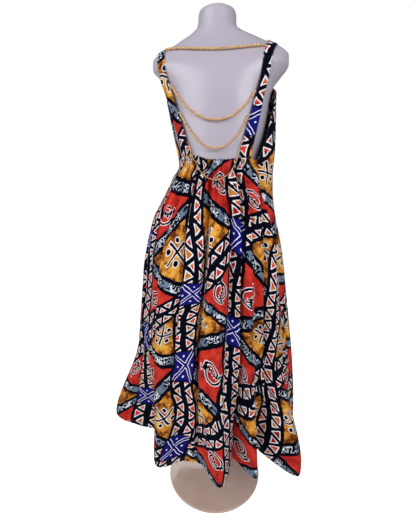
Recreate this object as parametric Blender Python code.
"""Backless wax print maxi dress on a limbless dress form with a round floor plate.

Metres, +Z up. The origin is the centre of the floor plate's underside. +Y is the way the
dress faces and +X is the wearer's right, so the bare back faces -Y. An azimuth is in degrees
from the middle of the back, positive towards +X, and the middle of the front is 180.
"""

import math

import bpy
from mathutils import Vector
from mathutils.bvhtree import BVHTree

# Driving dimensions of the dress
CLOTH = 0.002  # wall of a panel: gathered cotton with its turned edges
STRAP_CLOTH = 0.0025  # a strap is folded double
SEAM_GAP = 0.0003
STRAP_SEAM_GAP = 0.0007
FORM_GAP = 0.0009  # cloth that rests on the form
STRAP_FORM_GAP = 0.0009
HEM_HEIGHT = 0.250  # where the fold table's hem column holds; the hem itself is uneven
WAIST_HEIGHT = 1.172
HIP_HEIGHT = 0.950
KNEE_HEIGHT = 0.560
SEAM_AT_WAIST = 62.0  # side seam, from the bottom of the armhole to the hem
SEAM_AT_HEM = 88.0
GATHER_DEPTH = 0.0016
GATHER_PITCH = 6.4  # degrees from one gather to the next at the elastic
GATHER_END = 0.98  # height where the gathers have died out
GATHER_MARGIN = 4  # degrees of plain cloth beside each side seam
GATHER_FADE = 12  # degrees over which the gathers grow to their full depth
FOLD_START = WAIST_HEIGHT + 0.12  # the large folds begin here
WAIST_SHARE = 0.3  # their size at the waist, as a share of that at the hip
MILLIMETRE = 0.001

# Driving dimensions of the form and its stand
NECK_TOP = 1.5895
PLATE_RADIUS = 0.175
PLATE_HEIGHT = 0.009
PLATE_BEVEL = 0.0025
SOCKET_RADIUS = 0.024
SOCKET_TOP = 0.060
SOCKET_BEVEL = 0.004
PLATE_CONE = 0.0001  # the plate's top rises this much towards the socket
POLE_RADIUS = 0.0125
POLE_GAP = 0.0003

# Mesh density
FORM_SIDES = 44
FORM_FINE = (1.34, 1.56)  # the form's rows are twice as close between these heights
BACK_COLUMNS = 84
FRONT_COLUMNS = 64
STRAP_COLUMNS = 5
PLATE_SIDES = 64
POLE_SIDES = 24
CHAIN_ROUNDING = 2
SHARP_ANGLE = math.radians(50)

# The form: half width, depth behind and in front of its middle, squareness of the section, and
# how far its middle stands to +X of the pole
FORM_COLUMNS = ("height", "half_width", "back", "front", "squareness", "middle")
FORM_ROWS = (
    (0.800, 0.138, 0.100, 0.092, 2.3, 0.010),
    (0.850, 0.150, 0.110, 0.098, 2.3, 0.010),
    (0.920, 0.160, 0.120, 0.100, 2.3, 0.010),
    (0.980, 0.157, 0.120, 0.101, 2.3, 0.010),
    (1.060, 0.140, 0.105, 0.101, 2.2, 0.010),
    (1.120, 0.124, 0.097, 0.097, 2.2, 0.010),
    (1.170, 0.118, 0.0950, 0.094, 2.2, 0.010),
    (1.240, 0.136, 0.0960, 0.101, 2.2, 0.010),
    (1.300, 0.145, 0.0985, 0.119, 2.2, 0.010),
    (1.350, 0.150, 0.1010, 0.121, 2.2, 0.010),
    (1.385, 0.161, 0.1000, 0.110, 2.3, 0.010),
    (1.415, 0.184, 0.0950, 0.098, 2.4, 0.010),
    (1.440, 0.202, 0.0870, 0.084, 2.5, 0.009),
    (1.460, 0.202, 0.0780, 0.072, 2.5, 0.008),
    (1.475, 0.190, 0.0705, 0.065, 2.4, 0.0065),
    (1.488, 0.166, 0.0640, 0.059, 2.3, 0.006),
    (1.500, 0.139, 0.0595, 0.056, 2.2, 0.006),
    (1.513, 0.113, 0.0565, 0.054, 2.1, 0.005),
    (1.528, 0.081, 0.0550, 0.053, 2.0, 0.003),
    (1.545, 0.0595, 0.0540, 0.053, 2.0, 0.0015),
    (1.562, 0.0555, 0.0530, 0.053, 2.0, 0.0020),
    (1.576, 0.0550, 0.0525, 0.0525, 2.0, 0.0022),
    (1.585, 0.0525, 0.0500, 0.0500, 2.0, 0.0022),
    (NECK_TOP, 0.0450, 0.0430, 0.0430, 2.0, 0.0022),
)

# The dress without its folds: how far the cloth's outside is from the pole's axis
DRESS_COLUMNS = ("height", "left", "right", "back", "front")
DRESS_ROWS = (
    (0.250, 0.300, 0.280, 0.252, 0.268),
    (0.360, 0.292, 0.277, 0.243, 0.256),
    (0.500, 0.280, 0.267, 0.230, 0.240),
    (0.633, 0.268, 0.252, 0.217, 0.224),
    (0.757, 0.256, 0.236, 0.207, 0.210),
    (0.842, 0.247, 0.225, 0.198, 0.200),
    (0.893, 0.237, 0.217, 0.190, 0.193),
    (0.945, 0.224, 0.206, 0.180, 0.185),
    (1.000, 0.207, 0.193, 0.164, 0.175),
    (1.045, 0.183, 0.185, 0.149, 0.160),
    (1.085, 0.160, 0.181, 0.133, 0.152),
    (1.128, 0.138, 0.180, 0.116, 0.146),
    (1.163, 0.118, 0.181, 0.1005, 0.142),
    (1.180, 0.119, 0.182, 0.0985, 0.140),
    (1.235, 0.130, 0.183, 0.1000, 0.134),
    (1.300, 0.143, 0.182, 0.1030, 0.1265),
    (1.360, 0.154, 0.180, 0.1050, 0.1245),
    (1.420, 0.164, 0.182, 0.1050, 0.1080),
)

# Ridges and troughs in the skirt, in order round it: where each runs, and how far it stands
# out (or in, negative) at the hip, the knee and the hem, in millimetres
FOLD_COLUMNS = ("waist_azimuth", "hem_azimuth", "hip", "knee", "hem")
FOLD_ROWS = (
    (-180, -180, -4, -13, -26),
    (-163, -165, 6, 15, 28),
    (-146, -148, -6, -17, -32),
    (-128, -131, 6, 14, 26),
    (-110, -112, -5, -14, -26),
    (-92, -83, 0, 4, 80),
    (-62, -56, -6, -22, -64),
    (-38, -31, 7, 17, 22),
    (-4, -17, -10, -20, -34),
    (1, -4, -4, -9, -30),
    (11, 11, 6, 12, 30),
    (22, 25, -11, -23, -45),
    (33, 34, 4, 8, 24),
    (45, 43, -11, -23, -58),
    (59, 56, 3, 3, 78),
    (77, 79, -3, -8, -10),
    (94, 97, 4, 10, 16),
    (110, 113, -6, -17, -32),
    (128, 130, 6, 16, 30),
    (146, 147, -6, -16, -30),
    (163, 164, 6, 14, 27),
    (180, 180, -4, -13, -26),
)

# The hem round the skirt
HEM_COLUMNS = ("azimuth", "height")
HEM_ROWS = (
    (-180, 0.262),
    (-120, 0.262),
    (-88, 0.261),
    (-56, 0.258),
    (-36, 0.240),
    (-15, 0.244),
    (0, 0.252),
    (11, 0.236),
    (22, 0.254),
    (34, 0.240),
    (43, 0.272),
    (56, 0.228),
    (68, 0.248),
    (84, 0.260),
    (110, 0.262),
    (180, 0.262),
)

# The elastic edge of the back, which sags between the straps
BACK_EDGE_ROWS = (
    (-60, 1.172),
    (-50, 1.182),
    (-40, 1.186),
    (-28, 1.1845),
    (-10, 1.175),
    (8, 1.1715),
    (28, 1.172),
    (38, 1.1755),
    (48, 1.177),
    (60, 1.172),
)

# The front panel's top edge: armhole, strap corner and neckline
EDGE_COLUMNS = ("azimuth", "height")
EDGE_ROWS = (
    (62, 1.172),
    (66, 1.196),
    (71, 1.241),
    (75, 1.285),
    (80, 1.328),
    (88, 1.360),
    (99, 1.386),
    (110, 1.405),
    (117, 1.411),
    (127, 1.411),
    (136, 1.399),
    (150, 1.377),
    (165, 1.356),
    (180, 1.348),
)

# Rows of both panels' grids, as shares of the way up from the hem
PANEL_ROWS = (0, 0.07, 0.14, 0.22, 0.31, 0.41, 0.51, 0.61, 0.71, 0.80, 0.88, 0.935, 0.97, 1)

# A strap's middle line: its fall down the back, its turn over the shoulder in degrees from the
# front, and its fall to the corner of the front panel
FALL_COLUMNS = ("height", "left", "right", "width")
FALL_ROWS = (
    (1.400, 0.146, 0.145, 0.0240),
    (1.370, 0.136, 0.139, 0.0240),
    (1.333, 0.123, 0.130, 0.025),
    (1.297, 0.112, 0.123, 0.027),
    (1.256, 0.099, 0.113, 0.030),
    (1.215, 0.087, 0.1035, 0.032),
    (1.190, 0.0785, 0.0985, 0.034),
)
OVER_COLUMNS = ("turn", "left", "right", "width")
OVER_ROWS = (
    (30, 0.142, 0.150, 0.029),
    (60, 0.150, 0.160, 0.028),
    (90, 0.155, 0.164, 0.027),
    (120, 0.155, 0.160, 0.026),
    (156, 0.150, 0.149, 0.0240),
)
OVER_STEPS = 17
SHOULDER_Y = 0.005
SHOULDER_Z = 1.400
STRAP_CORNER = (117.0, 127.0)  # azimuths of the front panel's corner that meets the strap
CORNER_HEIGHT = 1.411

# The chains: heights of both ends on the straps, drop of the middle and diameter
CHAIN_COLUMNS = ("name", "left_height", "right_height", "lowest", "diameter", "stand_off")
CHAIN_ROWS = (
    ("chain_top", 1.479, 1.468, 1.450, 0.007, 0.001),
    ("chain_upper", 1.379, 1.350, 1.279, 0.007, 0.002),
    ("chain_lower", 1.303, 1.290, 1.202, 0.007, 0.008),
    ("chain_thin", 1.222, 1.222, 1.112, 0.003, 0.003),
)
CHAIN_POINTS = 20
CHORD_GAP = 0.0006  # a chain's straight pieces cut the corner of a round surface
CHAIN_END_BACK = 0.0015  # the ends stand behind the strap's edge
CLOTH_REACH = 1.195  # below this height a chain keeps off the cloth
CHAIN_LEAN = 1.10  # the chains hang a little further to the right than midway
CHAIN_ROUNDS = 8

# Small steps of the work on the grids
WANDER_COLUMNS = ("size", "rate", "start")  # uneven spacing of the gathers, in degrees
WANDER_ROWS = (
    (1.3, 0.17, 0),
    (0.8, 0.31, 1),
)
STEP_AZIMUTH = 0.8
STEP_HEIGHT = 0.01
SETTLE_ROUNDS = 12
SETTLE_SHARE = 0.7
SEARCH_ROUNDS = 24
SEARCH_STEP = 0.4
SINE_LIMIT = 0.99
RAY_START = 0.5

MATERIALS = {
    "wax_print_cotton": ((0.50, 0.10, 0.05, 1), 0.75, 0.0),
    "gold_chain": ((0.72, 0.42, 0.16, 1), 0.35, 1.0),
    "form_plastic": ((0.66, 0.62, 0.68, 1), 0.30, 0.0),
    "pole_chrome": ((0.70, 0.70, 0.72, 1), 0.15, 1.0),
    "plate_enamel": ((0.42, 0.30, 0.26, 1), 0.30, 0.0),
}


def column(columns, rows, name):
    """One named column of a table."""
    return [row[columns.index(name)] for row in rows]


def along(places, values, at):
    """A smooth curve through the values, with no overshoot between them."""
    if at <= places[0]:
        return values[0]
    if at >= places[-1]:
        return values[-1]
    i = next(k for k in range(len(places) - 1) if at <= places[k + 1])

    def slope(k):
        if k in (0, len(places) - 1):
            return 0.0
        before = (values[k] - values[k - 1]) / (places[k] - places[k - 1])
        after = (values[k + 1] - values[k]) / (places[k + 1] - places[k])
        return 0.0 if before * after <= 0 else 2 * before * after / (before + after)

    wide = places[i + 1] - places[i]
    t = (at - places[i]) / wide
    first = (2 * t**3 - 3 * t**2 + 1) * values[i] + (t**3 - 2 * t**2 + t) * wide * slope(i)
    second = (3 * t**2 - 2 * t**3) * values[i + 1] + (t**3 - t**2) * wide * slope(i + 1)
    return first + second


def table(columns, rows):
    """Reads a table as a function of its first column: table(...)(name, at)."""
    order = sorted(rows)
    places = column(columns, order, columns[0])
    return lambda name, at: along(places, column(columns, order, name), at)


def ease(t):
    """0 to 1 with level ends."""
    t = max(0.0, min(1.0, t))
    return t * t * (3 - 2 * t)


FORM = table(FORM_COLUMNS, FORM_ROWS)
DRESS = table(DRESS_COLUMNS, DRESS_ROWS)
EDGE = table(EDGE_COLUMNS, EDGE_ROWS)
HEM = table(HEM_COLUMNS, HEM_ROWS)
BACK_EDGE = table(EDGE_COLUMNS, BACK_EDGE_ROWS)
OVER = table(OVER_COLUMNS, OVER_ROWS)
FALL = table(FALL_COLUMNS, FALL_ROWS)


def form_ring(height):
    """The form's section at a height, as points round it."""
    half, power = FORM("half_width", height), 2 / FORM("squareness", height)
    ring = []
    for k in range(FORM_SIDES):
        turn = 2 * math.pi * k / FORM_SIDES
        across, deep = math.sin(turn), -math.cos(turn)
        depth = FORM("back" if deep < 0 else "front", height)
        x = FORM("middle", height) + half * math.copysign(abs(across) ** power, across)
        ring.append(Vector((x, depth * math.copysign(abs(deep) ** power, deep), height)))
    return ring


def form_heights():
    heights = column(FORM_COLUMNS, FORM_ROWS, "height")
    between = [(a + b) / 2 for a, b in zip(heights, heights[1:])]
    return sorted(heights + [h for h in between if FORM_FINE[0] < h < FORM_FINE[1]])


def side_seam(height):
    """Azimuth of the side seam at a height."""
    share = (WAIST_HEIGHT - height) / (WAIST_HEIGHT - HEM_HEIGHT)
    return SEAM_AT_WAIST + (SEAM_AT_HEM - SEAM_AT_WAIST) * ease(share)


def fold(azimuth, height):
    """How far the skirt's folds move the cloth out from the plain section."""
    fall = max(0.0, min(1.0, (WAIST_HEIGHT - height) / (WAIST_HEIGHT - HEM_HEIGHT)))
    swing = ease(fall)
    heights = (HEM_HEIGHT, KNEE_HEIGHT, HIP_HEIGHT, WAIST_HEIGHT, FOLD_START)
    for row, after in zip(FOLD_ROWS, FOLD_ROWS[1:]):
        start = row[0] + (row[1] - row[0]) * swing
        end = after[0] + (after[1] - after[0]) * swing
        if start <= azimuth <= end:
            sizes = [
                along(heights, (hem, knee, hip, WAIST_SHARE * hip, 0), height) * MILLIMETRE
                for _, _, hip, knee, hem in (row, after)
            ]
            return sizes[0] + (sizes[1] - sizes[0]) * ease((azimuth - start) / (end - start))
    return 0.0


def gathers(azimuth, height):
    """Small pleats under the elastic edge of the back."""
    beside = ease((SEAM_AT_WAIST - GATHER_MARGIN - abs(azimuth)) / GATHER_FADE)
    below = ease((height - GATHER_END) / (WAIST_HEIGHT - GATHER_END))
    wander = sum(size * math.sin(azimuth * rate + start) for size, rate, start in WANDER_ROWS)
    wave = 0.5 + 0.5 * math.cos(2 * math.pi * (azimuth + wander) / GATHER_PITCH)
    return 2 * GATHER_DEPTH * beside * below * wave


def dress_point(azimuth, height):
    """A point of the cloth's outside."""
    turn = math.radians(azimuth)
    wide = DRESS("right" if azimuth > 0 else "left", height)
    deep = DRESS("back" if abs(azimuth) < 90 else "front", height)
    radius = 1 / math.hypot(math.sin(turn) / wide, math.cos(turn) / deep)
    radius += fold(azimuth, height) + gathers(azimuth, height)
    return Vector((radius * math.sin(turn), -radius * math.cos(turn), height))


def outward(azimuth, height):
    """Direction out of the cloth at a point of it, the same for both panels at a seam."""
    left, right = (dress_point(azimuth + side * STEP_AZIMUTH, height) for side in (-1, 1))
    below, above = (dress_point(azimuth, height + side * STEP_HEIGHT) for side in (-1, 1))
    return (right - left).cross(above - below).normalized()


def levelled(way):
    return Vector((way.x, way.y, 0)).normalized()


def pushed_clear(point, tree, distance):
    """The point, moved out from the form where it is nearer than that distance."""
    place, normal, _, far = tree.find_nearest(point)
    inside = (point - place).dot(normal) < 0
    if inside or far < distance:
        return place + normal * distance
    return point


def mesh_object(name, points, faces, material):
    mesh = bpy.data.meshes.new(name)
    mesh.from_pydata(points, [], faces)
    mesh.update()
    mesh.shade_smooth()
    mesh.set_sharp_from_angle(angle=SHARP_ANGLE)
    thing = bpy.data.objects.new(name, mesh)
    thing.data.materials.append(bpy.data.materials[material])
    bpy.context.scene.collection.objects.link(thing)
    return thing


def loft(name, rings, material):
    """A closed solid through rings that have the same number of points, lowest ring first."""
    sides = len(rings[0])
    points = [p for ring in rings for p in ring]
    faces = [list(range(sides))[::-1]]
    for r in range(len(rings) - 1):
        for k in range(sides):
            low, next_low = r * sides + k, r * sides + (k + 1) % sides
            faces.append([low, next_low, next_low + sides, low + sides])
    faces.append([(len(rings) - 1) * sides + k for k in range(sides)])
    return mesh_object(name, points, faces, material)


def normals_of(rows):
    """Outward directions of a grid whose columns run towards +azimuth and rows upwards."""
    result = []
    for i, row in enumerate(rows):
        low, high = rows[max(i - 1, 0)], rows[min(i + 1, len(rows) - 1)]
        line = []
        for k in range(len(row)):
            side = row[min(k + 1, len(row) - 1)] - row[max(k - 1, 0)]
            line.append(side.cross(high[k] - low[k]).normalized())
        result.append(line)
    return result


def cloth_sheet(name, rows, ways, thickness, material):
    """A wall of even thickness under a grid of outside points with their outward directions."""
    wide, tall = len(rows[0]), len(rows)
    outside = [p for row in rows for p in row]
    inside = [p - n * thickness for p, n in zip(outside, [n for row in ways for n in row])]
    count = len(outside)
    faces = []
    for i in range(tall - 1):
        for k in range(wide - 1):
            a = i * wide + k
            faces.append([a, a + 1, a + 1 + wide, a + wide])
            faces.append([count + a, count + a + wide, count + a + 1 + wide, count + a + 1])
    for k in range(wide - 1):
        top = (tall - 1) * wide + k
        faces.append([k + 1, k, count + k, count + k + 1])
        faces.append([top, top + 1, count + top + 1, count + top])
    for i in range(tall - 1):
        left, right = i * wide, i * wide + wide - 1
        faces.append([left, left + wide, count + left + wide, count + left])
        faces.append([right + wide, right, count + right, count + right + wide])
    return mesh_object(name, outside + inside, faces, material)


def settled(rows, tree, distance, fixed=(), level=False):
    """Rows whose cells keep that distance from the form; level ones stay at their heights."""
    for _ in range(SETTLE_ROUNDS):
        for i in range(len(rows) - 1):
            for k in range(len(rows[0]) - 1):
                cell = ((i, k), (i, k + 1), (i + 1, k), (i + 1, k + 1))
                middle = sum((rows[a][b] for a, b in cell), Vector()) / 4
                pairs = [(rows[a][b], rows[c][d]) for (a, b), (c, d) in zip(cell, cell[1:])]
                places = [a.lerp(b, t) for a, b in pairs for t in (0.25, 0.5, 0.75)]
                for place in (middle, *places):
                    push = pushed_clear(place, tree, distance) - place
                    push.z = 0.0 if level else push.z
                    for a, b in cell:
                        if a not in fixed:
                            rows[a][b] = rows[a][b] + push * SETTLE_SHARE
    return rows


def make_panel(name, columns, place, top, tree):
    """A panel between the side seams; place gives an azimuth from (u, height), u from -1 to 1."""
    rows, ends = [], []
    for share in PANEL_ROWS:
        row, end = [], []
        for k in range(columns + 1):
            u = 2 * k / columns - 1
            low = HEM("height", place(u, HEM_HEIGHT))
            height = low + (top(u) - low) * share
            azimuth = place(u, height)
            row.append(pushed_clear(dress_point(azimuth, height), tree, CLOTH + FORM_GAP))
            end.append(outward(azimuth, height))
        rows.append(row)
        ends.append((end[0], end[-1]))
    rows = settled(rows, tree, CLOTH + FORM_GAP, level=True)
    ways = [[a, *way[1:-1], b] for way, (a, b) in zip(normals_of(rows), ends)]
    ways[-1] = [levelled(way) for way in ways[-1]]
    return cloth_sheet(name, rows, ways, CLOTH, "wax_print_cotton")


def seam_share(height):
    """Half the gap at a side seam, in degrees."""
    return math.degrees(0.5 * SEAM_GAP / DRESS("right", height))


def make_back(tree):
    """The back panel, from one side seam to the other, gathered on elastic at its top."""

    def place(u, height):
        return u * (side_seam(height) - seam_share(height))

    def top(u):
        return BACK_EDGE("height", u * SEAM_AT_WAIST)

    return make_panel("back_panel", BACK_COLUMNS, place, top, tree)


def make_front(tree):
    """The front panel, in one piece from the neckline and armholes to the hem."""

    def place(u, height):
        around = u * (180 - side_seam(height) - seam_share(height))
        return 180 + around if around < 0 else around - 180

    def top(u):
        return EDGE("height", 180 - abs(u) * (180 - SEAM_AT_WAIST))

    return make_panel("front_panel", FRONT_COLUMNS, place, top, tree)


def azimuth_at(x, height):
    """Azimuth of the point of the back that has this x."""
    azimuth = 0.0
    for _ in range(SEARCH_ROUNDS):
        point = dress_point(azimuth, height)
        sine = x / math.hypot(point.x, point.y)
        found = math.degrees(math.asin(max(-SINE_LIMIT, min(SINE_LIMIT, sine))))
        azimuth += SEARCH_STEP * (found - azimuth)
    return azimuth


def strap_grid(side, tree):
    """Outside points of a strap and their directions, from the back edge to the front corner."""
    sign = -1 if side == "left" else 1
    lift = STRAP_CLOTH + STRAP_FORM_GAP
    places = [k / STRAP_COLUMNS - 0.5 for k in range(STRAP_COLUMNS + 1)]
    low = []
    for place in places:
        x = sign * FALL(side, 0) + place * FALL("width", 0)
        azimuth = azimuth_at(x, WAIST_HEIGHT)
        height = BACK_EDGE("height", azimuth) + STRAP_SEAM_GAP
        low.append(pushed_clear(dress_point(azimuth, height), tree, lift))
    over = []
    for step in range(OVER_STEPS + 1):
        turn = OVER_ROWS[-1][0] + (OVER_ROWS[0][0] - OVER_ROWS[-1][0]) * step / OVER_STEPS
        way = Vector((0, math.cos(math.radians(turn)), math.sin(math.radians(turn))))
        centre = Vector((sign * OVER(side, turn), SHOULDER_Y, SHOULDER_Z))
        row = []
        for place in places:
            across = Vector((place * OVER("width", turn), 0, 0))
            hit, normal, _, _ = tree.ray_cast(centre + across + way * RAY_START, -way)
            row.append(hit + normal * lift)
        over.append(row)
    fall = []
    top = FALL_ROWS[0][0]
    for height in sorted(column(FALL_COLUMNS, FALL_ROWS, "height")):
        share = (height - WAIST_HEIGHT) / (top - WAIST_HEIGHT)
        row = []
        for k, place in enumerate(places):
            x = sign * FALL(side, height) + place * FALL("width", height)
            y = low[k].y + (over[0][k].y - low[k].y) * ease(share) ** 2
            row.append(pushed_clear(Vector((x, y, height)), tree, lift))
        fall.append(row)
    corner = STRAP_CORNER if side == "left" else STRAP_CORNER[::-1]
    height = CORNER_HEIGHT + STRAP_SEAM_GAP
    high = []
    for place in places:
        azimuth = sign * (corner[0] + (corner[1] - corner[0]) * (place + 0.5))
        high.append(pushed_clear(dress_point(azimuth, height), tree, lift))
    rows = [low, *fall, *over, high]
    rows = settled(rows, tree, lift, fixed=(0, len(rows) - 1))
    ways = normals_of(rows)
    return rows, [[levelled(way) for way in ways[0]], *ways[1:-1], [levelled(w) for w in ways[-1]]]


def edge_point(rows, column_number, height):
    """Where a strap's edge is at a height on its way up the back."""
    line = [row[column_number] for row in rows]
    for low, high in zip(line, line[1:]):
        if low.z <= height <= high.z:
            return low.lerp(high, (height - low.z) / (high.z - low.z))
    return line[0]


def tree_of(thing):
    faces = [tuple(p.vertices) for p in thing.data.polygons]
    return BVHTree.FromPolygons([v.co for v in thing.data.vertices], faces)


def chain_path(row, edges, tree, back_tree):
    """Points of a hanging chain, from the left strap's inner edge to the right one's."""
    _, left_height, right_height, lowest, diameter, stand_off = row
    left = edge_point(edges["left"], STRAP_COLUMNS, left_height)
    right = edge_point(edges["right"], 0, right_height)
    clear = diameter / 2 + SEAM_GAP
    start = left + Vector((clear, -CHAIN_END_BACK, 0))
    finish = right + Vector((-clear, -CHAIN_END_BACK, 0))
    sag = (start.z + finish.z) / 2 - lowest
    points = []
    for k in range(CHAIN_POINTS + 1):
        t = k / CHAIN_POINTS
        point = start.lerp(finish, t)
        bow = 1 - (2 * t**CHAIN_LEAN - 1) ** 2
        point.z -= sag * bow
        point = pushed_clear(point, tree, clear + CHORD_GAP + stand_off * bow)
        if point.z < CLOTH_REACH:
            azimuth = math.degrees(math.atan2(point.x, -point.y))
            cloth = dress_point(azimuth, min(point.z, WAIST_HEIGHT))
            ridge = 2 * GATHER_DEPTH + clear + CHORD_GAP
            radius = max(math.hypot(point.x, point.y), math.hypot(cloth.x, cloth.y) + ridge)
            turn = math.radians(azimuth)
            point = Vector((radius * math.sin(turn), -radius * math.cos(turn), point.z))
        points.append(point)
    for _ in range(CHAIN_ROUNDS):
        for k in range(1, CHAIN_POINTS):
            for share in (-0.5, -0.25, 0, 0.25, 0.5):
                place = points[k].lerp(points[k + (1 if share > 0 else -1)], abs(share))
                lack = clear - back_tree.find_nearest(place)[3]
                if lack > 0:
                    away = Vector((place.x, place.y, 0)).normalized()
                    points[k] = points[k] + away * lack
    return points


def make_chain(row, edges, tree, back_tree):
    points = chain_path(row, edges, tree, back_tree)
    curve = bpy.data.curves.new(row[0], "CURVE")
    curve.dimensions = "3D"
    spline = curve.splines.new("POLY")
    spline.points.add(len(points) - 1)
    for node, point in zip(spline.points, points):
        node.co = (*point, 1)
    curve.bevel_depth = row[4] / 2
    curve.bevel_resolution = CHAIN_ROUNDING
    curve.use_fill_caps = True
    curve.materials.append(bpy.data.materials["gold_chain"])
    bpy.context.scene.collection.objects.link(bpy.data.objects.new(row[0], curve))


def turned(name, profile, sides, material):
    """A solid of revolution on the pole's axis; the profile is (radius, height), rising."""
    rings = []
    for radius, height in profile:
        turns = [2 * math.pi * k / sides for k in range(sides)]
        rings.append([Vector((radius * math.cos(a), radius * math.sin(a), height)) for a in turns])
    return loft(name, rings, material)


def make_stand():
    """Round plate with a socket, and the pole that holds the form's underside."""
    plate = (
        (PLATE_RADIUS - PLATE_BEVEL, 0),
        (PLATE_RADIUS, PLATE_BEVEL),
        (PLATE_RADIUS, PLATE_HEIGHT - PLATE_BEVEL),
        (PLATE_RADIUS - PLATE_BEVEL, PLATE_HEIGHT),
        (SOCKET_RADIUS, PLATE_HEIGHT + PLATE_CONE),
        (SOCKET_RADIUS, SOCKET_TOP - SOCKET_BEVEL),
        (SOCKET_RADIUS - SOCKET_BEVEL, SOCKET_TOP),
    )
    turned("floor_plate", plate, PLATE_SIDES, "plate_enamel")
    pole = (
        (POLE_RADIUS, SOCKET_TOP + POLE_GAP),
        (POLE_RADIUS, FORM_ROWS[0][0] - POLE_GAP),
    )
    turned("pole", pole, POLE_SIDES, "pole_chrome")


def clear_scene():
    for thing in list(bpy.data.objects):
        bpy.data.objects.remove(thing, do_unlink=True)


def make_materials():
    for name, (colour, roughness, metallic) in MATERIALS.items():
        material = bpy.data.materials.new(name)
        material.use_nodes = True
        shader = material.node_tree.nodes["Principled BSDF"]
        shader.inputs["Base Color"].default_value = colour
        shader.inputs["Roughness"].default_value = roughness
        shader.inputs["Metallic"].default_value = metallic


def main():
    clear_scene()
    make_materials()
    rings = [form_ring(height) for height in form_heights()]
    form = loft("dress_form", rings, "form_plastic")
    tree = tree_of(form)
    back_tree = tree_of(make_back(tree))
    make_front(tree)
    edges = {}
    for side in ("left", "right"):
        rows, ways = strap_grid(side, tree)
        cloth_sheet(f"strap_{side}", rows, ways, STRAP_CLOTH, "wax_print_cotton")
        edges[side] = rows
    for row in CHAIN_ROWS:
        make_chain(row, edges, tree, back_tree)
    make_stand()


main()
